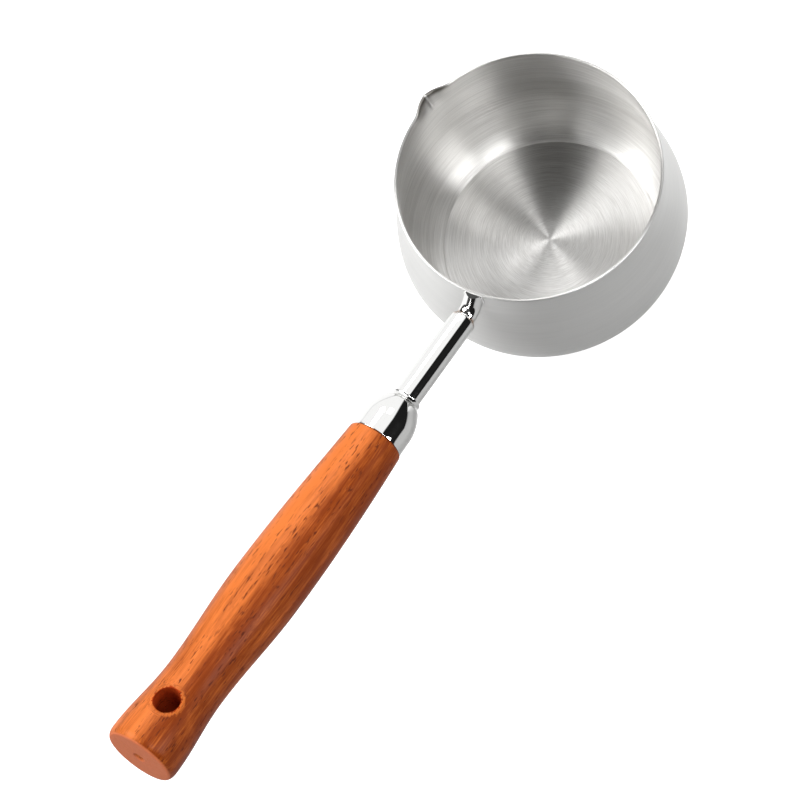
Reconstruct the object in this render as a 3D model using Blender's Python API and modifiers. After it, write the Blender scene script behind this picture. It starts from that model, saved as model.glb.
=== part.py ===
"""Hot oil pot: a small steel pot with one pressed pouring lip, carried by a bent rod, a polished tube and a wooden grip.

Metres, +Z up. The origin is on the pot's axis, at the underside of its base. The handle runs along +X and rises.
The stem's pieces are built along the local +Z of an empty, which lies on the tube's axis. The empty's local -X
points up, and its local Z is zero where the tube's axis meets the outside of the pot's wall.
"""
import math

import bmesh
import bpy
from mathutils import Vector

MM = 0.001

# Pot: outside sizes, wall and base.
RIM_RADIUS = 45.0 * MM
POT_HEIGHT = 56.0 * MM
BELLY_RADIUS = 49.4 * MM
BELLY_HEIGHT = 21.0 * MM
NECK_HEIGHT = 53.0 * MM
FOOT_RADIUS = 37.0 * MM
CORNER_POWER = 1.6
WALL = 1.0 * MM
BASE_THICKNESS = 2.0 * MM
RIM_ROUNDING = 0.3 * MM

# Pouring lip: its direction from the handle, half width, reach past the rim, depth below the rim and droop.
LIP_ANGLE = math.radians(-100.0)
LIP_HALF_WIDTH = 8.4 * MM
LIP_REACH = 2.7 * MM
LIP_DEPTH = 8.0 * MM
LIP_DROOP = 0.4 * MM

# Stem: how far its axis lies beside the pot's, how far under the rim it meets the wall, and its rise.
STEM_OFFSET = 6.2 * MM
STEM_DROP = 8.2 * MM
STEM_RISE = math.radians(8.0)

# Rod: the bent piece between the pot's wall and the tube, and the welds at its ends.
ROD_RADIUS = 3.4 * MM
ROD_SLOPE = math.radians(-50.0)
ROD_BEND_RADIUS = 6.6 * MM
ROD_GRIP_LENGTH = 9.0 * MM
ROD_UNDER_RIM = 0.4 * MM
WELD_WIDTH = 0.5 * MM
WELD_HEIGHT = 0.9 * MM

# Tube: its mouth and length along the stem's axis.
TUBE_START = 7.0 * MM
TUBE_LENGTH = 43.5 * MM
TUBE_RADIUS = 4.5 * MM
TUBE_WALL = 0.9 * MM
TUBE_ROUNDING = 0.7 * MM

# Ferrule: a bell cap with a short collar round the tube.
FERRULE_LENGTH = 18.0 * MM
FERRULE_RADIUS = 9.2 * MM
FERRULE_WALL = 0.8 * MM
COLLAR_LENGTH = 0.8 * MM
COLLAR_WIDTH = 0.4 * MM
DOME_LENGTH = 10.8 * MM
DOME_RADIUS = 9.1 * MM

# Grip: stations from its front shoulder, and the radius at each.
GRIP_LENGTH = 130.4 * MM
GRIP_FRONT_RADIUS = 9.65 * MM
BELLY_AT = 62.0 * MM
GRIP_BELLY_RADIUS = 12.05 * MM
WAIST_AT = 100.4 * MM
GRIP_WAIST_RADIUS = 10.45 * MM
GRIP_END_RADIUS = 12.3 * MM
END_ROUNDING_LENGTH = 3.2 * MM
END_ROUNDING_DEPTH = 1.4 * MM
GRIP_LIFT = 4.8 * MM
GRIP_LIFT_POWER = 1.3
TENON_LENGTH = 7.0 * MM
CENTRE_MARK_RADIUS = 1.6 * MM
CENTRE_MARK_DEPTH = 0.7 * MM

# Hanging hole through the grip.
HOLE_FROM_END = 17.2 * MM
HOLE_RADIUS = 4.3 * MM
HOLE_ROUNDING = 1.3 * MM

# Inner hardware: plug in the tube, washer, stud and threaded insert.
STUD_RADIUS = 2.0 * MM
STUD_LENGTH = 31.0 * MM
STUD_CHAMFER = 0.5 * MM
PLUG_LENGTH = 11.0 * MM
WASHER_THICKNESS = 1.2 * MM
WASHER_RADIUS = 7.0 * MM
INSERT_RADIUS = 4.0 * MM
INSERT_LENGTH = 16.0 * MM
BORE_RUN_OUT = 1.5 * MM

# Clearance between neighbouring pieces.
GAP = 0.3 * MM

# Facets round each turned piece, and along its curves.
POT_SIDES = 120
GRIP_SIDES = 36
STEM_SIDES = 32
ROD_STEPS = 10
BEAD_SIDES = 8

# Places that follow from the sizes above: the stem's height at the wall, and stations along the stem.
STEM_HEIGHT = POT_HEIGHT - STEM_DROP
TUBE_END = TUBE_START + TUBE_LENGTH
WASHER_START = TUBE_END + GAP
TENON_START = WASHER_START + WASHER_THICKNESS + GAP
GRIP_START = TENON_START + TENON_LENGTH
FERRULE_START = GRIP_START - GAP - FERRULE_LENGTH
GRIP_END = GRIP_START + GRIP_LENGTH
STUD_START = TUBE_END - PLUG_LENGTH + 1.0 * MM
BORE_END = max(STUD_START + STUD_LENGTH, TENON_START + INSERT_LENGTH) + BORE_RUN_OUT
HOLE_AT = GRIP_END - HOLE_FROM_END


def clear_scene():
    """Empties the file, so that the model is all that it holds."""
    for item in list(bpy.data.objects):
        bpy.data.objects.remove(item, do_unlink=True)


def collection(name):
    """Returns a new collection under the scene's own."""
    made = bpy.data.collections.new(name)
    bpy.context.scene.collection.children.link(made)
    return made


def material(name, colour, roughness, metallic):
    """Returns a Principled material."""
    made = bpy.data.materials.new(name)
    made.use_nodes = True
    shader = made.node_tree.nodes["Principled BSDF"]
    shader.inputs["Base Color"].default_value = (*colour, 1.0)
    shader.inputs["Roughness"].default_value = roughness
    shader.inputs["Metallic"].default_value = metallic
    return made


def quarter(count):
    """Returns the angles of a quarter turn, from 0 to 90 degrees."""
    return [math.pi / 2 * k / count for k in range(count + 1)]


def offset(points, distance):
    """Moves an outline of (radius, height) points sideways, to the right of its direction of travel for +."""
    moved = []
    for k, (r, z) in enumerate(points):
        r0, z0 = points[max(k - 1, 0)]
        r1, z1 = points[min(k + 1, len(points) - 1)]
        run, rise = r1 - r0, z1 - z0
        length = math.hypot(run, rise)
        moved.append((max(r + distance * rise / length, 0.0), z - distance * run / length))
    return moved


def outline_object(name, points, home, closed):
    """Returns a mesh object of edges alone, in the XZ plane, from (radius, height) points."""
    mesh = bpy.data.meshes.new(name)
    edges = [(k, k + 1) for k in range(len(points) - 1)]
    if closed:
        edges.append((len(points) - 1, 0))
    mesh.from_pydata([(r, 0.0, z) for r, z in points], edges, [])
    made = bpy.data.objects.new(name, mesh)
    home.objects.link(made)
    return made


def turned(name, points, home, sides, closed=False):
    """Returns a turned solid: an outline down its outer side, swept round Z by a Screw modifier."""
    made = outline_object(name, points, home, closed)
    screw = made.modifiers.new("turn", "SCREW")
    screw.axis = "Z"
    screw.angle = 2 * math.pi
    screw.steps = sides
    screw.render_steps = sides
    screw.use_merge_vertices = True
    screw.merge_threshold = 0.01 * MM
    screw.use_smooth_shade = True
    return made


def settled(made, home):
    """Replaces an object by a plain mesh of what its modifiers or its bevel give, with its doubles merged."""
    bpy.context.view_layer.update()
    graph = bpy.context.evaluated_depsgraph_get()
    mesh = bpy.data.meshes.new_from_object(made.evaluated_get(graph))
    name = made.name
    place = made.matrix_world.copy()
    bpy.data.objects.remove(made, do_unlink=True)
    shape = bmesh.new()
    shape.from_mesh(mesh)
    bmesh.ops.remove_doubles(shape, verts=shape.verts, dist=0.001 * MM)
    bmesh.ops.recalc_face_normals(shape, faces=shape.faces)
    shape.to_mesh(mesh)
    shape.free()
    mesh.name = name
    plain = bpy.data.objects.new(name, mesh)
    home.objects.link(plain)
    plain.matrix_world = place
    return plain


def cut(made, cutter, operation="DIFFERENCE"):
    """Takes a cutter's solid away from an object, or keeps only what they share."""
    step = made.modifiers.new("cut " + cutter.name, "BOOLEAN")
    step.operation = operation
    step.object = cutter
    step.solver = "EXACT"
    cutter.hide_render = True
    cutter.display_type = "WIRE"


def finish(made, look, parent=None):
    """Gives a piece its material, smooth shading with sharp edges, and its parent."""
    made.data.materials.clear()
    made.data.materials.append(look)
    if made.type == "MESH" and made.data.polygons:
        made.data.shade_smooth()
        made.data.set_sharp_from_angle(angle=math.radians(35.0))
    if parent:
        made.parent = parent
    return made


def pot_outline():
    """Returns the pot's outside, from the rim down the wall, round the corner and in to the axis."""
    wall_steps = [1.0, 0.96, 0.92, 0.87, 0.81, 0.74, 0.66, 0.58, 0.48, 0.36, 0.22, 0.1]
    points = []
    for u in wall_steps:
        height = BELLY_HEIGHT + (POT_HEIGHT - BELLY_HEIGHT) * u
        points.append((wall_radius(height), height))
    for a in quarter(9):
        reach = (BELLY_RADIUS - FOOT_RADIUS) * max(math.cos(a), 0.0) ** (2 / CORNER_POWER)
        points.append((FOOT_RADIUS + reach, BELLY_HEIGHT * (1 - math.sin(a) ** (2 / CORNER_POWER))))
    points += [(FOOT_RADIUS * 0.5, 0.0), (0.0, 0.0)]
    return points


def wall_radius(height):
    """Returns the pot's outside radius at a height above the belly."""
    u = min(max((height - BELLY_HEIGHT) / (NECK_HEIGHT - BELLY_HEIGHT), 0.0), 1.0)
    return BELLY_RADIUS - (BELLY_RADIUS - RIM_RADIUS) * (1 - math.cos(math.pi * u)) / 2


def press_lip(mesh):
    """Pushes the wall out into a rounded pouring lip that widens and droops toward the rim."""
    half_angle = LIP_HALF_WIDTH / RIM_RADIUS
    for vertex in mesh.vertices:
        x, y, z = vertex.co
        depth = (z - (POT_HEIGHT - LIP_DEPTH)) / LIP_DEPTH
        turn = math.atan2(y, x) - LIP_ANGLE
        turn = abs((turn + math.pi) % (2 * math.pi) - math.pi) / half_angle
        if depth <= 0.0 or turn >= 1.0:
            continue
        swell = math.cos(math.pi / 2 * turn) ** 1.6 * depth ** 1.6
        radius = math.hypot(x, y)
        push = (radius + LIP_REACH * swell) / radius
        vertex.co = (x * push, y * push, z - LIP_DROOP * swell * depth)


def pot_body(home, steel):
    """The drawn pot: an open surface of its outside, pressed into a lip, with a wall that grows to the base."""
    shell = settled(turned("pot_body", pot_outline(), home, POT_SIDES), home)
    press_lip(shell.data)
    group = shell.vertex_groups.new(name="thickness")
    for vertex in shell.data.vertices:
        share = min(vertex.co.z / BELLY_HEIGHT, 1.0)
        wall = BASE_THICKNESS + (WALL - BASE_THICKNESS) * math.sqrt(share)
        group.add([vertex.index], wall / max(BASE_THICKNESS, WALL), "REPLACE")
    solid = shell.modifiers.new("wall", "SOLIDIFY")
    solid.thickness = max(BASE_THICKNESS, WALL)
    solid.offset = -1.0
    solid.use_even_offset = True
    solid.vertex_group = group.name
    edge = shell.modifiers.new("rim", "BEVEL")
    edge.width = min(RIM_ROUNDING, 0.35 * WALL)
    edge.segments = 2
    edge.limit_method = "ANGLE"
    edge.angle_limit = math.radians(60.0)
    return finish(shell, steel)


def stem_axis(home):
    """The empty that the stem's pieces are parented to, with its local +Z along the tube."""
    empty = bpy.data.objects.new("stem_axis", None)
    home.objects.link(empty)
    empty.location = (math.sqrt(wall_radius(STEM_HEIGHT) ** 2 - STEM_OFFSET ** 2), STEM_OFFSET, STEM_HEIGHT)
    empty.rotation_euler = (0.0, math.pi / 2 - STEM_RISE, 0.0)
    bpy.context.view_layer.update()
    return empty


def rod_path(axis):
    """Returns the rod's centre line: down its slope from inside the wall, round the bend and into the tube."""
    turn = axis.matrix_world.to_quaternion()
    along = turn @ Vector((0.0, 0.0, 1.0))
    lift = turn @ Vector((-1.0, 0.0, 0.0))
    centre = axis.matrix_world @ Vector((0.0, 0.0, TUBE_START - GAP)) + lift * ROD_BEND_RADIUS
    sweep = STEM_RISE - ROD_SLOPE
    points = []
    for k in range(ROD_STEPS + 1):
        a = sweep * (1 - k / ROD_STEPS)
        points.append(centre - (lift * math.cos(a) + along * math.sin(a)) * ROD_BEND_RADIUS)
    fall = along * math.cos(sweep) - lift * math.sin(sweep)
    first = points[0] - fall * 4 * ROD_RADIUS
    return [first] + points + [axis.matrix_world @ Vector((0.0, 0.0, TUBE_START + ROD_GRIP_LENGTH))]


def swept(name, path, radius, home):
    """Returns a round bar along the path, as a curve with filled caps made into a mesh."""
    curve = bpy.data.curves.new(name, "CURVE")
    curve.dimensions = "3D"
    curve.bevel_depth = radius
    curve.bevel_resolution = 6
    curve.use_fill_caps = True
    spline = curve.splines.new("POLY")
    spline.points.add(len(path) - 1)
    for point, place in zip(spline.points, path):
        point.co = (*place, 1.0)
    made = bpy.data.objects.new(name, curve)
    home.objects.link(made)
    return settled(made, home)


def pot_envelope(name, distance, cutters, under_rim=ROD_UNDER_RIM):
    """A cutter of the pot's outside grown by a distance and filled to the axis, with all above its brim."""
    side = [p for p in pot_outline() if p[1] > 0.0]
    grown = offset(side, -distance)
    top = POT_HEIGHT + 4 * ROD_RADIUS
    brim = POT_HEIGHT - under_rim
    wide = RIM_RADIUS + 6 * ROD_RADIUS
    points = [(0.0, top), (wide, top), (wide, brim), (grown[0][0], brim)]
    points += grown[1:] + [(grown[-1][0], 0.0), (0.0, 0.0)]
    return settled(turned(name, points, cutters, POT_SIDES), cutters)


def stem_rod(home, cutters, chrome, axis):
    """The bent rod: it leaves the wall under the rim, swings down and out, and is gripped in the tube's mouth."""
    rod = swept("stem_rod", rod_path(axis), ROD_RADIUS, home)
    cut(rod, pot_envelope("rod_envelope", GAP, cutters))
    return finish(rod, chrome)


def wall_weld(home, cutters, chrome, axis):
    """The weld bead that follows the wall round the rod's end."""
    path = rod_path(axis)
    bead = swept("wall_weld", path, ROD_RADIUS + GAP + WELD_WIDTH, home)
    cut(bead, pot_envelope("weld_reach", GAP + WELD_HEIGHT, cutters, 0.0), "INTERSECT")
    cut(bead, swept("weld_core", path, ROD_RADIUS + GAP, cutters))
    cut(bead, pot_envelope("weld_back", GAP, cutters))
    return finish(bead, chrome)


def neck_weld(home, cutters, chrome, axis):
    """The bead where the rod enters the tube's rounded end."""
    bead = WELD_WIDTH + GAP / 2
    centre = TUBE_START - GAP - bead
    points = []
    for k in range(BEAD_SIDES):
        a = math.pi / 2 - 2 * math.pi * k / BEAD_SIDES
        points.append((ROD_RADIUS + GAP + bead * math.cos(a), centre + bead * math.sin(a)))
    ring = turned("neck_weld", points, home, STEM_SIDES, closed=True)
    cut(ring, swept("neck_core", rod_path(axis), ROD_RADIUS + GAP, cutters))
    return finish(ring, chrome, axis)


def stem_tube(home, chrome, axis):
    """The polished tube, turned in at its mouth round the rod and open inside the ferrule."""
    mouth = ROD_RADIUS + GAP
    inner = TUBE_RADIUS - TUBE_WALL
    corner = min(TUBE_ROUNDING, TUBE_RADIUS - mouth)
    points = [(inner, TUBE_END), (TUBE_RADIUS, TUBE_END)]
    for a in quarter(4):
        ring = TUBE_RADIUS - corner * (1 - math.cos(a))
        points.append((ring, TUBE_START + corner * (1 - math.sin(a))))
    points += [(mouth, TUBE_START), (mouth, TUBE_START + TUBE_WALL), (inner, TUBE_START + 1.6 * TUBE_WALL)]
    return finish(turned("stem_tube", points, home, STEM_SIDES, closed=True), chrome, axis)


def ferrule(home, chrome, axis):
    """The bell ferrule: a collar round the tube, a dome and a skirt over the grip's tenon."""
    bore = TUBE_RADIUS + GAP
    collar = bore + COLLAR_WIDTH
    dome_start = FERRULE_START + COLLAR_LENGTH
    end = FERRULE_START + FERRULE_LENGTH
    outer = [(FERRULE_RADIUS, end)]
    dome = []
    for a in reversed(quarter(9)):
        rise = (DOME_RADIUS - collar + 0.1 * MM) * math.sin(a)
        dome.append((collar - 0.1 * MM + rise, dome_start + DOME_LENGTH * a / (math.pi / 2)))
    outer += dome
    inside = offset(outer, FERRULE_WALL)
    inside = [p for p in inside if p[0] > bore + 0.2 * MM]
    inside[0] = (inside[0][0], end)
    lip = COLLAR_WIDTH * 0.35
    outer += [(collar, dome_start - lip), (collar, FERRULE_START + lip), (collar - lip, FERRULE_START), (bore, FERRULE_START)]
    outer.append((bore, inside[-1][1] - 0.5 * FERRULE_WALL))
    points = outer + list(reversed(inside))
    return finish(turned("ferrule", points, home, GRIP_SIDES, closed=True), chrome, axis)


def sleeve(name, start, end, inner, outer, home):
    """Returns a plain ring along the axis."""
    points = [(inner, end), (outer, end), (outer, start), (inner, start)]
    return turned(name, points, home, STEM_SIDES, closed=True)


def tie_stud(home, zinc, axis):
    """The stud that draws the grip against the tube's plug, with chamfered ends."""
    start = STUD_START
    end = STUD_START + STUD_LENGTH
    tip = STUD_RADIUS - STUD_CHAMFER
    points = [(0.0, end), (tip, end), (STUD_RADIUS, end - STUD_CHAMFER), (STUD_RADIUS, start + STUD_CHAMFER)]
    points += [(tip, start), (0.0, start)]
    return finish(turned("tie_stud", points, home, STEM_SIDES), zinc, axis)


def hardware(home, zinc, brass, axis):
    """The plug welded in the tube's end, the washer, the stud and the grip's threaded insert."""
    clear = STUD_RADIUS + GAP
    plug_radius = TUBE_RADIUS - TUBE_WALL - GAP
    plug = sleeve("tube_plug", TUBE_END - PLUG_LENGTH, TUBE_END, clear, plug_radius, home)
    finish(plug, zinc, axis)
    washer_end = WASHER_START + WASHER_THICKNESS
    washer = sleeve("grip_washer", WASHER_START, washer_end, clear, WASHER_RADIUS, home)
    finish(washer, zinc, axis)
    insert = sleeve("grip_insert", TENON_START, TENON_START + INSERT_LENGTH, clear, INSERT_RADIUS, home)
    finish(insert, brass, axis)
    tie_stud(home, zinc, axis)


def grip_radius(along):
    """Returns the grip's radius at a distance behind its front shoulder: a swell, a waist and a flared butt."""
    if along <= BELLY_AT:
        swell = math.sin(math.pi / 2 * along / BELLY_AT)
        return GRIP_FRONT_RADIUS + (GRIP_BELLY_RADIUS - GRIP_FRONT_RADIUS) * swell
    if along <= WAIST_AT:
        share = (1 - math.cos(math.pi * (along - BELLY_AT) / (WAIST_AT - BELLY_AT))) / 2
        return GRIP_BELLY_RADIUS + (GRIP_WAIST_RADIUS - GRIP_BELLY_RADIUS) * share
    flare_end = GRIP_LENGTH - END_ROUNDING_LENGTH
    share = (1 - math.cos(math.pi * (along - WAIST_AT) / (flare_end - WAIST_AT))) / 2
    return GRIP_WAIST_RADIUS + (GRIP_END_RADIUS - GRIP_WAIST_RADIUS) * share


def grip_spine(along):
    """Returns the lift and the slope of the grip's centre line at a distance along the stem's axis."""
    run = GRIP_END - BORE_END
    share = max(along - BORE_END, 0.0) / run
    return GRIP_LIFT * share ** GRIP_LIFT_POWER, GRIP_LIFT_POWER * GRIP_LIFT / run * share ** (GRIP_LIFT_POWER - 1)


def bend_grip(mesh):
    """Bends a straight turned mesh upward past its bore, each section staying square to the centre line."""
    for vertex in mesh.vertices:
        x, y, z = vertex.co
        lift, slope = grip_spine(z)
        tilt = math.atan(slope)
        vertex.co = (x * math.cos(tilt) - lift, y, z + x * math.sin(tilt))


def grip_outline():
    """Returns the grip from the middle of its butt round the outside to the tenon and down the stepped bore."""
    points = [(0.0, GRIP_END - CENTRE_MARK_DEPTH)]
    points.append((CENTRE_MARK_RADIUS * 0.6, GRIP_END - CENTRE_MARK_DEPTH))
    points.append((CENTRE_MARK_RADIUS, GRIP_END))
    flare_end = GRIP_LENGTH - END_ROUNDING_LENGTH
    for a in reversed(quarter(4)):
        ring = GRIP_END_RADIUS - END_ROUNDING_DEPTH * (1 - math.cos(a))
        points.append((ring, GRIP_START + flare_end + END_ROUNDING_LENGTH * math.sin(a)))
    steps = 26
    for k in range(steps - 1, -1, -1):
        along = flare_end * k / steps
        points.append((grip_radius(along), GRIP_START + along))
    tenon = FERRULE_RADIUS - FERRULE_WALL - 2 * GAP
    bore = INSERT_RADIUS + GAP
    pilot = STUD_RADIUS + GAP
    step = TENON_START + INSERT_LENGTH + GAP
    points += [(tenon, GRIP_START), (tenon, TENON_START), (bore, TENON_START), (bore, step)]
    points += [(pilot, step), (pilot, BORE_END), (0.0, BORE_END)]
    return points


def hole_cutter(cutters, axis):
    """A spool across the grip that cuts the hanging hole and rounds its two mouths."""
    lift, slope = grip_spine(HOLE_AT)
    tilt = math.atan(slope)
    surface = grip_radius(HOLE_AT - GRIP_START)
    reach = surface + 4 * HOLE_ROUNDING
    points = [(0.0, reach), (HOLE_RADIUS + 4 * HOLE_ROUNDING, reach)]
    for a in quarter(4):
        ring = HOLE_RADIUS + HOLE_ROUNDING * (1 - math.sin(a))
        points.append((ring, surface - HOLE_ROUNDING * (1 - math.cos(a)) + 0.25 * HOLE_ROUNDING))
    points += [(r, -z) for r, z in reversed(points)]
    spool = turned("hole_cutter", points, cutters, STEM_SIDES)
    spool.parent = axis
    spool.location = (-lift, 0.0, HOLE_AT)
    spool.rotation_euler = (0.0, -math.pi / 2 - tilt, 0.0)
    return spool


def wood_grip(home, cutters, wood, axis):
    """The turned grip: tenon, swell, waist and flared butt, bent up a little, with a hanging hole."""
    grip = settled(turned("wood_grip", grip_outline(), home, GRIP_SIDES), home)
    bend_grip(grip.data)
    cut(grip, hole_cutter(cutters, axis))
    return finish(grip, wood, axis)


def build():
    """Makes every piece of the pot."""
    clear_scene()
    home = collection("hot_oil_pot")
    cutters = collection("cutters")
    steel = material("brushed_steel", (0.63, 0.63, 0.61), 0.32, 1.0)
    chrome = material("polished_steel", (0.72, 0.72, 0.71), 0.08, 1.0)
    zinc = material("zinc_steel", (0.55, 0.56, 0.58), 0.35, 1.0)
    brass = material("brass", (0.74, 0.57, 0.27), 0.3, 1.0)
    wood = material("rosewood", (0.46, 0.17, 0.06), 0.42, 0.0)
    axis = stem_axis(home)
    pot_body(home, steel)
    wall_weld(home, cutters, chrome, axis)
    stem_rod(home, cutters, chrome, axis)
    neck_weld(home, cutters, chrome, axis)
    stem_tube(home, chrome, axis)
    ferrule(home, chrome, axis)
    hardware(home, zinc, brass, axis)
    wood_grip(home, cutters, wood, axis)


build()
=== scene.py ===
"""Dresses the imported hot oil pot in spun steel, polished steel and oiled hardwood, in a white studio.

Metres, +Z up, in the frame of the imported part: the origin is under the middle of the base, and the handle
runs along +X. Turned pieces are swept from an outline by one Geometry Nodes tree, and the rod and the weld
beads follow their paths through another. The stem's pieces are made upright and then laid along the stem.
"""
import logging
import math
from dataclasses import dataclass, field
from enum import Enum
from typing import ClassVar

import bmesh
import bpy
from bpy.types import ID, Material, Mesh, Node, NodeSocket, NodeTree, Object
from mathutils import Matrix, Vector


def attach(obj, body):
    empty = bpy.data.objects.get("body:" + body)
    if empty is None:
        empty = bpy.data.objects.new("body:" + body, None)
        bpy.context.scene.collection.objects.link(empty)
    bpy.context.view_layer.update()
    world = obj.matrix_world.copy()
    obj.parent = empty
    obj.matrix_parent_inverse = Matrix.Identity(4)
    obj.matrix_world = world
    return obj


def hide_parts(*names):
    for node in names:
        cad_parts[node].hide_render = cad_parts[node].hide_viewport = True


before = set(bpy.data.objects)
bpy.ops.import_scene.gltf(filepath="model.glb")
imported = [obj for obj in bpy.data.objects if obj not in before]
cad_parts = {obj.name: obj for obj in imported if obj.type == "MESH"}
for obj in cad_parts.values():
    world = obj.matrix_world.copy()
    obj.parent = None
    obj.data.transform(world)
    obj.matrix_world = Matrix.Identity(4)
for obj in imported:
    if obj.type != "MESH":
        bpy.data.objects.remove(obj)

MM = 0.001
MERGE_DISTANCE = 0.002 * MM
SLIVER = 0.0005 * MM
WHITE = (1.0, 1.0, 1.0, 1.0)
UP = Vector((0.0, 0.0, 1.0))
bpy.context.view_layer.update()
LOG = logging.getLogger("hot_oil_pot")

Point = tuple[float, float]
Colour = tuple[float, float, float, float]


class Loop(Enum):
    """How a turned outline ends."""

    AXIS = "both ends lie on the axis"
    RING = "the last point joins the first"


class Slot(Enum):
    """The record's material slots."""

    SPUN = "brushed_steel"
    POLISHED = "polished_steel"
    WOOD = "rosewood"


# Node trees


class Graph:
    """Adds nodes to one node tree and links them."""

    def __init__(self, tree: NodeTree) -> None:
        """Keeps the tree that the nodes go into."""
        self.tree = tree

    def feed(self, node: Node, values: dict[str | int, object]) -> Node:
        """Links a node's inputs to other sockets, or sets their values.

        Args:
            node: The node.
            values: An output socket or a plain value for each input, by its name or its place.

        Returns:
            The node.
        """
        for key, value in values.items():
            if isinstance(value, NodeSocket):
                self.tree.links.new(value, node.inputs[key])
            else:
                node.inputs[key].default_value = value
        return node

    def add(self, kind: str, values: dict[str | int, object] | None = None, **settings: object) -> Node:
        """Adds a node.

        Args:
            kind: The node's Blender type.
            values: Its inputs, as feed takes them.
            settings: Its plain properties.

        Returns:
            The new node.
        """
        made = self.tree.nodes.new(kind)
        for name, value in settings.items():
            setattr(made, name, value)
        return self.feed(made, values or {})

    def math(self, operation: str, *values: object) -> NodeSocket:
        """Adds a Math node and returns its output."""
        return self.add("ShaderNodeMath", dict(enumerate(values)), operation=operation).outputs[0]

    def product(self, first: object, *others: object) -> NodeSocket:
        """Multiplies values in order.

        Args:
            first: The first value.
            others: The others.

        Returns:
            Their product.
        """
        for other in others:
            first = self.math("MULTIPLY", first, other)
        return first

    def total(self, *parts: tuple[NodeSocket, float]) -> NodeSocket:
        """Adds up values, each taken by its share.

        Args:
            parts: The values with their shares.

        Returns:
            The sum.
        """
        first, *others = [self.math("MULTIPLY", value, share) for value, share in parts]
        for other in others:
            first = self.math("ADD", first, other)
        return first

    def vector(self, operation: str, *values: object) -> NodeSocket:
        """Adds a Vector Math node and returns a dot product's number, or else its vector."""
        made = self.add("ShaderNodeVectorMath", dict(enumerate(values)), operation=operation)
        return made.outputs["Value" if operation == "DOT_PRODUCT" else "Vector"]

    def combine(self, *parts: object) -> NodeSocket:
        """Adds a Combine XYZ node and returns its vector."""
        return self.add("ShaderNodeCombineXYZ", dict(enumerate(parts))).outputs[0]

    def split(self, vector: NodeSocket) -> dict[str, NodeSocket]:
        """Adds a Separate XYZ node and returns its outputs by name."""
        return dict(self.add("ShaderNodeSeparateXYZ", {0: vector}).outputs.items())

    def attribute(self, name: str, output: str) -> NodeSocket:
        """Adds an Attribute node for a mesh attribute and returns one of its outputs."""
        made = self.add("ShaderNodeAttribute", attribute_name=name, attribute_type="GEOMETRY")
        return made.outputs[output]

    def noise(self, vector: object, scale: object, detail: float = 2.0, rough: float = 0.5) -> NodeSocket:
        """Adds a Noise Texture and returns its value."""
        values = {"Vector": vector, "Scale": scale, "Detail": detail, "Roughness": rough}
        return self.add("ShaderNodeTexNoise", values).outputs[0]

    def span(self, value: object, low: float, high: float, to_low: object = 0.0, to_high: object = 1.0,
             kind: str = "SMOOTHSTEP") -> NodeSocket:
        """Adds a clamped Map Range from low and high, and returns its result."""
        values = dict(enumerate((value, low, high, to_low, to_high)))
        return self.add("ShaderNodeMapRange", values, interpolation_type=kind).outputs[0]

    def mix(self, share: object, first: object, second: object) -> NodeSocket:
        """Adds a colour Mix node and returns its colour."""
        values = {"Factor": share, "A": first, "B": second}
        return self.add("ShaderNodeMix", values, data_type="RGBA").outputs["Result"]

    def bump(self, height: NodeSocket, strength: float, distance: float) -> NodeSocket:
        """Adds a Bump node and returns its normal."""
        values = {"Strength": strength, "Distance": distance, "Height": height}
        return self.add("ShaderNodeBump", values).outputs["Normal"]


def declare(tree: NodeTree, way: str, *rows: tuple) -> None:
    """Adds named sockets to a group's interface.

    Args:
        tree: The group.
        way: INPUT or OUTPUT.
        rows: Each socket's type after NodeSocket, its name, and its default if it has one.
    """
    for kind, name, *default in rows:
        made = tree.interface.new_socket(name, in_out=way, socket_type="NodeSocket" + kind)
        if default:
            made.default_value = default[0]


# Geometry trees


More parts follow.
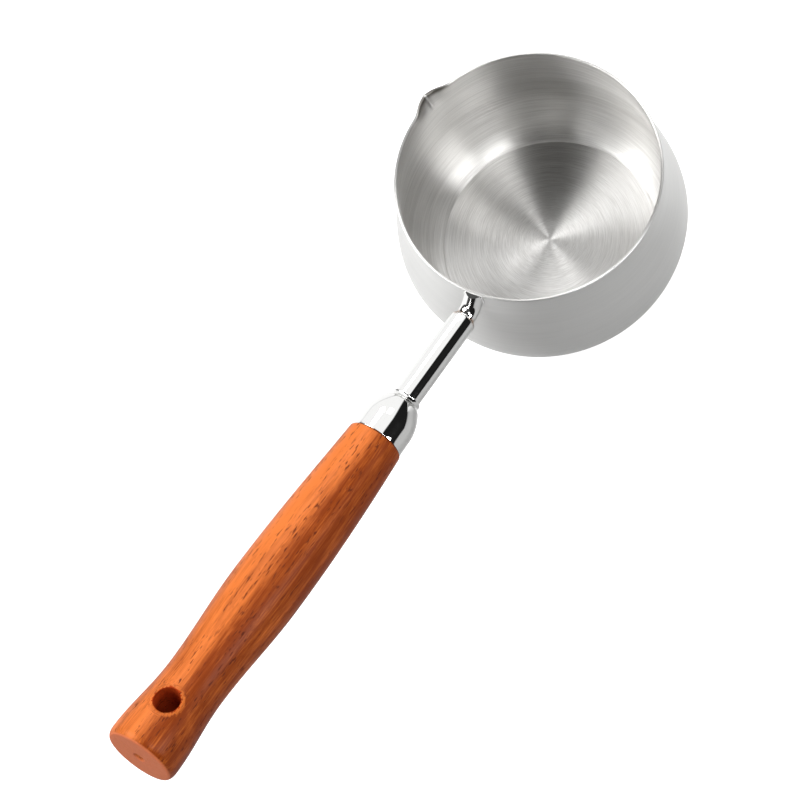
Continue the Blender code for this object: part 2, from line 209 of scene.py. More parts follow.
class ShapeTree:
    """A Geometry Nodes tree that makes a plain mesh from a line of points."""

    name: ClassVar[str] = "shape"
    inputs: ClassVar[tuple[tuple[str, str, object], ...]] = ()

    def __init__(self) -> None:
        """Builds the tree round the sweep."""
        self.tree = bpy.data.node_groups.new(self.name, "GeometryNodeTree")
        declare(self.tree, "INPUT", ("Geometry", "Geometry"), *self.inputs, ("Material", "Material"))
        declare(self.tree, "OUTPUT", ("Geometry", "Geometry"))
        self.graph = Graph(self.tree)
        self.given = self.graph.add("NodeGroupInput").outputs
        line = self.graph.add("GeometryNodeMeshToCurve", {"Mesh": self.given["Geometry"]})
        swept = self.sweep(line.outputs["Curve"])
        values = {"Geometry": swept, "Distance": MERGE_DISTANCE}
        merged = self.graph.add("GeometryNodeMergeByDistance", values)
        plain = self.graph.add("GeometryNodeRealizeInstances", {"Geometry": merged.outputs["Geometry"]})
        values = {"Geometry": plain.outputs["Geometry"], "Material": self.given["Material"]}
        dressed = self.graph.add("GeometryNodeSetMaterial", values)
        self.graph.add("NodeGroupOutput", {"Geometry": dressed.outputs["Geometry"]})

    def circle(self, radius: str) -> NodeSocket:
        """Adds a circle whose radius is the input of that name, and returns its curve."""
        values = {"Resolution": self.given["Sides"], "Radius": self.given[radius]}
        return self.graph.add("GeometryNodeCurvePrimitiveCircle", values, mode="RADIUS").outputs["Curve"]

    def sweep(self, line: NodeSocket) -> NodeSocket:
        """Adds the nodes that sweep the line, and returns their mesh."""
        raise NotImplementedError

    def make(self, name: str, points: list[Vector], closed: bool, look: Material, **values: float) -> Object:
        """Runs the tree on a line of points.

        Args:
            name: The new object's name.
            points: The line.
            closed: Whether its last point joins its first.
            look: The material.
            values: The tree's inputs, by name, with underscores for spaces.

        Returns:
            A plain mesh object with outward faces.
        """
        mesh = bpy.data.meshes.new(name)
        edges = [(k, k + 1) for k in range(len(points) - 1)]
        if closed:
            edges.append((len(points) - 1, 0))
        mesh.from_pydata(points, edges, [])
        source = put(name + "_line", mesh)
        step = source.modifiers.new("shape", "NODES")
        step.node_group = self.tree
        given = {key.replace("_", " "): value for key, value in values.items()}
        given["Material"] = look
        for item in self.tree.interface.items_tree:
            if item.item_type == "SOCKET" and item.in_out == "INPUT" and item.name in given:
                step[item.identifier] = given[item.name]
        result = settle(source)
        bpy.data.objects.remove(source, do_unlink=True)
        outward(result)
        result.materials.clear()
        result.materials.append(look)
        return put(name, result)


class LatheTree(ShapeTree):
    """Sweeps an outline round the axis, and keeps the way along it in the attribute 'arc'."""

    name = "turned outline"
    guide: ClassVar[float] = 1.0
    inputs = (("Int", "Sides", 96), ("Float", "Guide Radius", guide))

    def sweep(self, line: NodeSocket) -> NodeSocket:
        """Carries the outline round a circle, from which it stands off by its own radius.

        Args:
            line: The outline's curve.

        Returns:
            The turned mesh.
        """
        arc = self.graph.add("GeometryNodeSplineParameter").outputs["Length"]
        values = {"Geometry": line, "Name": "arc", "Value": arc}
        kept = self.graph.add("GeometryNodeStoreNamedAttribute", values, data_type="FLOAT", domain="POINT")
        values = {"Curve": self.circle("Guide Radius")}
        upright = self.graph.add("GeometryNodeSetCurveNormal", values, mode="Z_UP")
        values = {"Curve": upright.outputs["Curve"], "Profile Curve": kept.outputs["Geometry"]}
        return self.graph.add("GeometryNodeCurveToMesh", values).outputs["Mesh"]

    def turn(self, name: str, outline: list[Point], loop: Loop, sides: int, look: Material) -> Object:
        """Turns an outline of (radius, height) points into a piece that stands upright on Z."""
        line = [Vector((r - self.guide, -z, 0.0)) for r, z in outline]
        return self.make(name, line, loop is Loop.RING, look, Sides=sides, Guide_Radius=self.guide)


class BeadTree(ShapeTree):
    """Sweeps a round section along a path, with ripples along it where they are asked for."""

    name = "round bar"
    inputs = (("Float", "Radius", 1.0 * MM), ("Int", "Sides", 24), ("Float", "Ripples", 0.0),
              ("Float", "Ripple Depth", 0.0))

    def sweep(self, line: NodeSocket) -> NodeSocket:
        """Carries a circle along the line, swelling and shrinking it by the ripples.

        Args:
            line: The path's curve.

        Returns:
            The bar's mesh.
        """
        along = self.graph.add("GeometryNodeSplineParameter").outputs["Factor"]
        wave = self.graph.math("SINE", self.graph.product(along, self.given["Ripples"], 2 * math.pi))
        swell = self.graph.math("MULTIPLY_ADD", wave, self.given["Ripple Depth"], 1.0)
        sized = self.graph.add("GeometryNodeSetCurveRadius", {"Curve": line, "Radius": swell})
        values = {"Curve": sized.outputs["Curve"], "Profile Curve": self.circle("Radius"), "Fill Caps": True}
        swept = self.graph.add("GeometryNodeCurveToMesh", values)
        if "Scale" in swept.inputs:
            self.graph.feed(swept, {"Scale": swell})
        return swept.outputs["Mesh"]


# Shape helpers


def spread(low: float, high: float, steps: int) -> list[float]:
    """Returns evenly spaced values from low to high."""
    return [low + (high - low) * k / steps for k in range(steps + 1)]


def ease(part: float, whole: float = 1.0) -> float:
    """Returns how far a soft change from 0 to 1 has come at part of the whole."""
    return (1 - math.cos(math.pi * part / whole)) / 2


def bearing(azimuth: float, elevation: float) -> Vector:
    """Returns the direction at an azimuth from +X and an elevation, both in degrees."""
    a, e = math.radians(azimuth), math.radians(elevation)
    return Vector((math.cos(e) * math.cos(a), math.cos(e) * math.sin(a), math.sin(e)))


def corner(centre: Point, radii: Point, start: float, end: float, steps: int) -> list[Point]:
    """Returns the points of an elliptic corner.

    Args:
        centre: Its centre, as (radius, height).
        radii: Its half axes.
        start: The first angle in degrees, 0 pointing away from the axis and 90 up.
        end: The last angle.
        steps: The number of steps between them.

    Returns:
        The points, in order.
    """
    return [(centre[0] + radii[0] * math.cos(a), centre[1] + radii[1] * math.sin(a))
            for a in map(math.radians, spread(start, end, steps))]


def put(name: str, data: ID) -> Object:
    """Adds an object to the scene.

    Args:
        name: The object's name.
        data: Its mesh, lamp or camera.

    Returns:
        The object.
    """
    made = bpy.data.objects.new(name, data)
    bpy.context.scene.collection.objects.link(made)
    return made


def settle(piece: Object) -> Mesh:
    """Makes a plain mesh of a piece with its modifiers, and clears them.

    Args:
        piece: The piece.

    Returns:
        The new mesh.
    """
    graph = bpy.context.evaluated_depsgraph_get()
    result = bpy.data.meshes.new_from_object(piece.evaluated_get(graph))
    piece.modifiers.clear()
    return result


def outward(mesh: Mesh) -> None:
    """Merges a mesh's doubles and turns its faces outward.

    Args:
        mesh: The mesh.
    """
    shape = bmesh.new()
    shape.from_mesh(mesh)
    bmesh.ops.remove_doubles(shape, verts=shape.verts, dist=MERGE_DISTANCE)
    bmesh.ops.dissolve_degenerate(shape, edges=shape.edges, dist=SLIVER)
    bmesh.ops.recalc_face_normals(shape, faces=shape.faces)
    shape.to_mesh(mesh)
    shape.free()


def subtract(piece: Object, cutter: Object) -> None:
    """Takes a cutter's solid away from a piece for good, and removes the cutter.

    Args:
        piece: The piece to cut.
        cutter: The cutter.
    """
    step = piece.modifiers.new("cut", "BOOLEAN")
    step.operation, step.solver, step.object = "DIFFERENCE", "EXACT", cutter
    piece.data = settle(piece)
    bpy.data.objects.remove(cutter, do_unlink=True)


def hand_over(piece: Object, node: str, angle: float = 32.0) -> None:
    """Shades a finished piece and lets it stand for a CAD node.

    Args:
        piece: The piece, at the origin.
        node: The CAD node that it stands for.
        angle: The angle in degrees past which an edge stays sharp.
    """
    piece.data.shade_smooth()
    piece.data.set_sharp_from_angle(angle=math.radians(angle))
    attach(piece, "root")
    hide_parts(node)
    LOG.info("%s stands for %s: %d faces", piece.name, node, len(piece.data.polygons))


# Finishes


class Surface(Graph):
    """The graph of a new material, with its shader and its Object coordinates."""

    def __init__(self, name: str) -> None:
        """Makes the material.

        Args:
            name: Its name.
        """
        self.material = bpy.data.materials.new(name)
        self.material.use_nodes = True
        super().__init__(self.material.node_tree)
        self.shader = self.tree.nodes["Principled BSDF"]
        self.place = self.add("ShaderNodeTexCoord").outputs["Object"]

    def dress(self, **values: object) -> None:
        """Links or sets the shader's inputs, by name, with underscores for spaces."""
        self.feed(self.shader, {key.replace("_", " "): value for key, value in values.items()})


class SmudgeGroup:
    """A shader group that varies a roughness softly, as handling and polishing do."""

    def __init__(self) -> None:
        """Builds the group."""
        self.tree = bpy.data.node_groups.new("handling marks", "ShaderNodeTree")
        declare(self.tree, "INPUT", ("Vector", "Vector"), ("Float", "Scale", 60.0), ("Float", "Base", 0.3),
                ("Float", "Amount", 0.05))
        declare(self.tree, "OUTPUT", ("Float", "Roughness"))
        graph = Graph(self.tree)
        given = graph.add("NodeGroupInput").outputs
        broad = graph.noise(given["Vector"], given["Scale"], detail=3.0, rough=0.6)
        change = graph.math("MULTIPLY", graph.math("SUBTRACT", broad, 0.5), given["Amount"])
        graph.add("NodeGroupOutput", {"Roughness": graph.math("ADD", given["Base"], change)})

    def place(self, graph: Surface, scale: float, base: object, amount: float) -> NodeSocket:
        """Places the group in a material.

        Args:
            graph: The material's graph.
            scale: The marks' scale.
            base: The roughness between marks.
            amount: How far the marks change it.

        Returns:
            The roughness.
        """
        values = {"Vector": graph.place, "Scale": scale, "Base": base, "Amount": amount}
        return graph.add("ShaderNodeGroup", values, node_tree=self.tree).outputs["Roughness"]


@dataclass(frozen=True)
class Grain:
    """A layer of noise drawn out along an axis or across it.

    Attributes:
        across: Its scale square to the axis.
        along: Its scale along the axis.
        shift: Where along the axis it starts.
        detail: The noise's detail.
        rough: The noise's roughness.
    """

    across: float
    along: float
    shift: float = 0.0
    detail: float = 3.0
    rough: float = 0.5

    def lay(self, graph: Graph, plan: dict[str, NodeSocket], along: NodeSocket) -> NodeSocket:
        """Adds the layer to a material.

        Args:
            graph: The material's graph.
            plan: Coordinates, of which X and Y lie square to the axis.
            along: The way along the axis.

        Returns:
            The noise's value.
        """
        x, y = (graph.math("MULTIPLY", plan[name], self.across) for name in "XY")
        z = graph.math("MULTIPLY_ADD", along, self.along, self.shift)
        return graph.noise(graph.combine(x, y, z), 1.0, self.detail, self.rough)


@dataclass(frozen=True)
class Finish:
    """What every finish has.

    Attributes:
        name: The material's name.
        smudge: Scale and depth of its handling marks.
        metallic: How metallic it is.
    """

    name: str
    smudge: ClassVar[tuple[float, float]]
    metallic: ClassVar[float] = 1.0

    def draw(self, graph: Surface) -> tuple[object, object]:
        """Draws the finish's pattern and returns its colour and its roughness."""
        raise NotImplementedError

    def make(self, smudges: SmudgeGroup) -> Material:
        """Builds the material.

        Args:
            smudges: The group for handling marks.

        Returns:
            The material.
        """
        graph = Surface(self.name)
        colour, rough = self.draw(graph)
        scale, amount = self.smudge
        graph.dress(Base_Color=colour, Roughness=smudges.place(graph, scale, rough, amount),
                    Metallic=self.metallic)
        return graph.material


@dataclass(frozen=True)
class SpunSteel(Finish):
    """Steel that was spun and brushed in rings, so its gloss spreads across them.

    Attributes:
        lip_angle: Direction of the lip in plan.
        brim: Height of the rim.
        roughness: The mean roughness.
        stretch: The anisotropy.
        dark: The colour between streaks.
        light: The colour on streaks.
        relief: Strength of the brushed lines' relief.
        painted_lip_reflection: The colour of the painted dark reflection at the lip's edge.
        lip_spread: How far the painted reflection reaches to each side of the lip.
        fine: The brushed lines.
        middle: The narrow streaks.
        broad: The wide streaks.
    """

    lip_angle: float
    brim: float
    roughness: float = 0.36
    stretch: float = 0.95
    dark: Colour = (0.54, 0.53, 0.515, 1.0)
    light: Colour = (0.78, 0.775, 0.76, 1.0)
    relief: float = 0.25
    # Painted dark reflection: the colour drawn at the lip's edge in place of the dark that it reflects.
    painted_lip_reflection: Colour = (0.10, 0.085, 0.07, 1.0)
    lip_spread: float = math.radians(13.0)
    fine: Grain = Grain(3.0, 5200.0, rough=0.65)
    middle: Grain = Grain(1.4, 900.0, rough=0.6)
    broad: Grain = Grain(0.7, 190.0, detail=2.0)
    smudge = (45.0, 0.06)

    def draw(self, graph: Surface) -> tuple[object, object]:
        """Draws the rings and the painted dark reflection at the lip, and turns the gloss across the rings.

        Args:
            graph: The material's graph.

        Returns:
            The colour and the roughness.
        """
        parts = graph.split(graph.place)
        way = graph.vector("NORMALIZE", graph.combine(parts["X"], parts["Y"], 0.0))
        plan, arc = graph.split(way), graph.attribute("arc", "Fac")
        fine, middle, broad = (layer.lay(graph, plan, arc) for layer in (self.fine, self.middle, self.broad))
        floor_top, wall_foot = 2.5 * MM, 5.0 * MM
        floor_share, wall_gain = 0.25, 0.3
        wall = graph.span(parts["Z"], floor_top, wall_foot)
        coarse = graph.math("MULTIPLY_ADD", wall, wall_gain, floor_share)
        soft = graph.math("MULTIPLY", coarse, graph.total((middle, 0.6), (broad, 0.4)))
        streak = graph.math("ADD", soft, graph.math("MULTIPLY", graph.math("SUBTRACT", 1.0, coarse), fine))
        dark_at, light_at = 0.28, 0.72
        steel = graph.mix(graph.span(streak, dark_at, light_at), self.dark, self.light)
        # Painted dark reflection, mixed into the steel's colour at the lip's edge.
        painted_lip_reflection = self.painted_reflection_mask(graph, way, parts["Z"])
        rough_at, smooth_at, change = 0.30, 0.70, 0.05
        rough = graph.span(streak, rough_at, smooth_at, self.roughness + change, self.roughness - change,
                           "LINEAR")
        tangent = graph.add("ShaderNodeTangent", direction_type="RADIAL", axis="Z")
        line_depth, quarter_turn = 0.02 * MM, 0.25
        graph.dress(Normal=graph.bump(fine, self.relief, line_depth), Tangent=tangent.outputs["Tangent"],
                    Anisotropic=self.stretch, Anisotropic_Rotation=quarter_turn)
        return graph.mix(painted_lip_reflection, steel, self.painted_lip_reflection), rough

    def painted_reflection_mask(self, graph: Surface, way: NodeSocket, height: NodeSocket) -> NodeSocket:
        """Returns where a painted dark reflection darkens the lip's edge, to each side of its crease.

        Args:
            graph: The material's graph.
            way: The direction from the axis.
            height: The height.

        Returns:
            The painted reflection's strength.
        """
        cos, sin = math.cos(self.lip_angle), math.sin(self.lip_angle)
        strength, reach, top = 0.8, 2.6 * MM, 0.4 * MM
        crease, crease_edge = 0.25 * MM, 0.6 * MM
        aim = graph.vector("DOT_PRODUCT", way, (cos, sin, 0.0))
        aside = graph.vector("DOT_PRODUCT", graph.place, (sin, -cos, 0.0))
        near = graph.span(aim, math.cos(self.lip_spread), 1.0)
        high = graph.span(height, self.brim - reach, self.brim - top)
        clear = graph.span(graph.math("ABSOLUTE", aside), crease, crease_edge)
        return graph.product(near, high, clear, strength)


@dataclass(frozen=True)
class PolishedSteel(Finish):
    """Mirror-polished steel, with heat colours near a weld where a stem is given.

    Attributes:
        stem: The place of the stem's axis.
        heat_at: Where the heat colours lie, as a distance along the stem.
        heat_reach: How far they reach each way.
        colour: The metal's colour.
        heat: The heat's colour.
        roughness: The mean roughness.
    """

    stem: Matrix | None = None
    heat_at: float = 0.0
    heat_reach: float = 1.6 * MM
    colour: Colour = (0.80, 0.80, 0.79, 1.0)
    heat: Colour = (0.36, 0.19, 0.09, 1.0)
    roughness: float = 0.045
    smudge = (90.0, 0.04)

    def draw(self, graph: Surface) -> tuple[object, object]:
        """Draws the heat colours.

        Args:
            graph: The material's graph.

        Returns:
            The colour and the roughness.
        """
        if self.stem is None:
            return self.colour, self.roughness
        reach = graph.vector("SUBTRACT", graph.place, tuple(self.stem.translation))
        along = graph.vector("DOT_PRODUCT", reach, tuple(self.stem.to_3x3() @ UP))
        away = graph.math("ABSOLUTE", graph.math("SUBTRACT", along, self.heat_at))
        near = graph.span(away, 0.0, self.heat_reach, 1.0, 0.0)
        patch_scale, bare_at, tinted_at = 420.0, 0.45, 0.62
        patch = graph.span(graph.noise(graph.place, patch_scale), bare_at, tinted_at)
        return graph.mix(graph.product(near, patch), self.colour, self.heat), self.roughness


@dataclass(frozen=True)
class PlainMetal(Finish):
    """Plated or turned metal of the inner pieces.

    Attributes:
        colour: The metal's colour.
        roughness: The mean roughness.
    """

    colour: Colour = (0.55, 0.56, 0.58, 1.0)
    roughness: float = 0.35
    smudge = (200.0, 0.15)

    def draw(self, graph: Surface) -> tuple[object, object]:
        """Draws a fine mottle.

        Args:
            graph: The material's graph.

        Returns:
            The colour and the roughness.
        """
        scale, shade = 900.0, 0.8
        shadow = tuple(shade * c for c in self.colour[:3]) + (1.0,)
        return graph.mix(graph.noise(graph.place, scale), shadow, self.colour), self.roughness


@dataclass(frozen=True)
class OiledWood(Finish):
    """Reddish hardwood with lengthwise grain and short dark pores, under a thin satin oil.

    Attributes:
        butt_at: Where the end grain starts, as a distance along the stem.
        pale: The colour of pale grain.
        deep: The colour of dark grain.
        gloss: How strongly the oil reflects.
        pore: The colour inside pores.
        butt: The colour of the end grain.
        rings: The year rings.
        fibre: The fibres.
        mottle: The soft blotches.
        slots: The pores.
        sparse: Where pores gather.
        speck: The specks of the end grain.
    """

    butt_at: float
    pale: Colour = (0.66, 0.165, 0.030, 1.0)
    deep: Colour = (0.22, 0.034, 0.002, 1.0)
    gloss: float = 0.12
    pore: Colour = (0.09, 0.013, 0.003, 1.0)
    butt: Colour = (0.68, 0.19, 0.08, 1.0)
    rings: Grain = Grain(170.0, 9.0, 3.0, rough=0.55)
    fibre: Grain = Grain(2000.0, 60.0, 1.0, rough=0.65)
    mottle: Grain = Grain(90.0, 45.0, 7.0, rough=0.6)
    slots: Grain = Grain(1900.0, 300.0, 5.0, detail=1.0)
    sparse: Grain = Grain(300.0, 50.0, 11.0, detail=1.0)
    speck: Grain = Grain(900.0, 900.0, detail=2.0)
    smudge = (70.0, 0.12)
    metallic = 0.0

    def draw(self, graph: Surface) -> tuple[object, object]:
        """Draws the grain, the pores, the end grain and a painted shade across the grip, on the blank's
        straight coordinates.

        Args:
            graph: The material's graph.

        Returns:
            The colour and the roughness.
        """
        parts = graph.split(graph.attribute("straight", "Vector"))
        layers = (self.rings, self.fibre, self.mottle, self.slots, self.sparse, self.speck)
        rings, fibre, mottle, slots, sparse, speck = (layer.lay(graph, parts, parts["Z"]) for layer in layers)
        # Painted shade and light: the grip's +Y side is drawn darker and its -Y side paler, as the light
        # falls from -Y.
        lit_side, shaded_side, lit_gain, shade_loss = -6.0 * MM, 14.0 * MM, 0.06, -0.11
        painted_side_shade = graph.span(parts["Y"], lit_side, shaded_side, lit_gain, shade_loss)
        tone = graph.math("ADD", graph.total((rings, 0.5), (fibre, 0.3), (mottle, 0.2)), painted_side_shade)
        deep_at, pale_at = 0.36, 0.64
        colour = graph.mix(graph.span(tone, deep_at, pale_at), self.deep, self.pale)
        pore_from, pore_full, pore_share = 0.60, 0.70, 0.85
        bare_at, filled_at = 0.38, 0.56
        pores = graph.product(graph.span(slots, pore_from, pore_full, 0.0, pore_share),
                              graph.span(sparse, bare_at, filled_at))
        colour = graph.mix(pores, colour, self.pore)
        turnover = 0.6 * MM
        end = graph.span(parts["Z"], self.butt_at, self.butt_at + turnover)
        cut = graph.mix(0.25, self.butt, graph.mix(speck, self.butt, self.deep))
        side_rough, pore_rough, end_rough = 0.40, 0.3, 0.15
        rough = graph.math("MULTIPLY_ADD", pores, pore_rough, side_rough)
        fibre_height, relief, relief_depth = 0.25, 0.5, 0.06 * MM
        height = graph.math("SUBTRACT", graph.math("MULTIPLY", fibre, fibre_height), pores)
        coat_share, coat_rough = 0.2, 0.25
        graph.dress(Normal=graph.bump(height, relief, relief_depth), Specular_IOR_Level=self.gloss,
                    Coat_Weight=coat_share * self.gloss, Coat_Roughness=coat_rough)
        return graph.mix(end, colour, cut), graph.math("MULTIPLY_ADD", end, end_rough, rough)


# The pot


@dataclass
class Pot:
    """The drawn pot with its pressed pouring lip.

    Attributes:
        rim_radius: Outside radius at the rim.
        height: Height of the rim.
        belly_radius: Widest outside radius.
        belly_height: Height of the widest place.
        neck_height: Height above which the wall is straight.
        foot_radius: Radius of the flat underside.
        corner_power: How full the corner under the belly is; 2 is an ellipse.
        wall: Thickness of the wall.
        floor_height: Height of the floor inside.
        floor_radius: Radius of the flat floor inside.
        corner_start: How far inside the floor's edge the inner corner's curve starts.
        corner_sink: How far under the floor it starts.
        rim_rounding: Radius of the rim's edge.
        lip_angle: Direction of the lip in plan.
        lip_half_width: Half width of the lip along the rim.
        lip_reach: How far the lip stands out.
        lip_depth: How far down the lip starts.
        lip_droop: How far the lip's edge hangs below the rim.
        lip_power: How sharply the lip swells toward its middle and its edge.
        crease_width: Half width of the crease in the lip.
        crease_reach: How far the crease stands out past the lip.
        crease_power: How sharp the crease is.
        crease_gain: How fast the crease reaches its full depth on the way up.
        sides: The number of facets round the pot.
    """

    rim_radius: float = 45.0 * MM
    height: float = 56.0 * MM
    belly_radius: float = 49.4 * MM
    belly_height: float = 21.0 * MM
    neck_height: float = 53.0 * MM
    foot_radius: float = 37.0 * MM
    corner_power: float = 1.6
    wall: float = 1.0 * MM
    floor_height: float = 2.0 * MM
    floor_radius: float = 36.8 * MM
    corner_start: float = 2.2 * MM
    corner_sink: float = 0.35 * MM
    rim_rounding: float = 0.42 * MM
    lip_angle: float = math.radians(-100.0)
    lip_half_width: float = 8.4 * MM
    lip_reach: float = 2.7 * MM
    lip_depth: float = 8.0 * MM
    lip_droop: float = 0.4 * MM
    lip_power: float = 1.6
    crease_width: float = 1.0 * MM
    crease_reach: float = 0.55 * MM
    crease_power: float = 1.5
    crease_gain: float = 1.6
    sides: int = 480

    def wall_radius(self, height: float) -> float:
        """Returns the outside radius at a height above the belly."""
        share = min(max((height - self.belly_height) / (self.neck_height - self.belly_height), 0.0), 1.0)
        return self.belly_radius - (self.belly_radius - self.rim_radius) * ease(share)

    def turn_in(self, start: float, reach: float, drop: float, steps: int) -> list[Point]:
        """Returns the corner under the belly, from its foot up.

        Args:
            start: Radius at its foot.
            reach: How far it spreads up to the belly.
            drop: Its height.
            steps: The number of steps.

        Returns:
            The points, as (radius, height).
        """
        power = 2 / self.corner_power
        return [(start + reach * math.sin(a) ** power,
                 self.belly_height - drop * max(math.cos(a), 0.0) ** power)
                for a in spread(0.0, math.pi / 2, steps)]

    def outline(self) -> list[Point]:
        """Makes the section: underside, corner, wall, rim, and down the inside to the floor's middle.

        Returns:
            The points, as (radius, height).
        """
        flat_steps, corner_steps, wall_steps = 6, 30, 34
        rim_steps, inner_steps, floor_steps = 6, 34, 30
        flat = [(r, 0.0) for r in spread(0.0, self.foot_radius, flat_steps)[:-1]]
        reach = self.belly_radius - self.foot_radius
        outside = self.turn_in(self.foot_radius, reach, self.belly_height, corner_steps)
        top = self.height - self.rim_rounding
        heights = spread(self.belly_height, top, wall_steps)[1:-1]
        outside += [(self.wall_radius(z), z) for z in heights]
        half = self.rim_rounding
        outer = self.wall_radius(top)
        rim = corner((outer - half, top), (half, half), 0, 90, rim_steps)
        rim += corner((outer - self.wall + half, top), (half, half), 90, 180, rim_steps)
        inside = [(self.wall_radius(z) - self.wall, z) for z in reversed(heights)]
        start = self.floor_radius - self.corner_start
        rise = self.belly_height - self.floor_height + self.corner_sink
        sweep = self.turn_in(start, self.belly_radius - self.wall - start, rise, inner_steps)
        inside += [p for p in reversed(sweep) if p[1] > self.floor_height]
        edge = self.floor_radius
        inside = [p for p in inside if p[0] > edge or p[1] > self.belly_height]
        floor = [(edge * (1 - k / floor_steps), self.floor_height) for k in range(floor_steps + 1)]
        return flat + outside + rim + inside + floor

    def press(self, mesh: Mesh) -> None:
        """Presses the pouring lip and its crease into the wall.

        Args:
            mesh: The pot's mesh.
        """
        half_angle = self.lip_half_width / self.rim_radius
        crease_angle = self.crease_width / self.rim_radius
        for vertex in mesh.vertices:
            x, y, z = vertex.co
            depth = (z - (self.height - self.lip_depth)) / self.lip_depth
            turn = math.atan2(y, x) - self.lip_angle
            turn = abs((turn + math.pi) % (2 * math.pi) - math.pi)
            if depth <= 0.0 or turn >= half_angle:
                continue
            swell = math.cos(math.pi / 2 * turn / half_angle) ** self.lip_power * depth ** self.lip_power
            fold = max(1 - turn / crease_angle, 0.0) ** self.crease_power * min(depth * self.crease_gain, 1.0)
            push = 1 + (self.lip_reach * swell + self.crease_reach * fold) / math.hypot(x, y)
            vertex.co = (x * push, y * push, z - self.lip_droop * swell * depth)

    def make(self, lathe: LatheTree, inside: Material, outside: Material) -> None:
        """Makes the pot, brushed inside and satin outside.

        Args:
            lathe: The tree that turns outlines.
            inside: The inner finish.
            outside: The outer finish.
        """
        pot = lathe.turn("pot_spun", self.outline(), Loop.AXIS, self.sides, inside)
        pot.data.materials.append(outside)
        brim = self.height - 0.2 * self.rim_rounding
        for face in pot.data.polygons:
            x, y, z = face.center
            outer = face.normal.x * x + face.normal.y * y > 0.0 and math.hypot(x, y) > self.foot_radius
            if z < brim and (outer or z < 0.5 * self.floor_height):
                face.material_index = 1
        self.press(pot.data)
        hand_over(pot, "pot_body")


# The stem


@dataclass(frozen=True)
class Bead:
    """A weld's bead.

    Attributes:
        radius: Its radius.
        ripples: The number of ripples along it.
        depth: How deep they are, as a share of the radius.
    """

    radius: float
    ripples: float
    depth: float


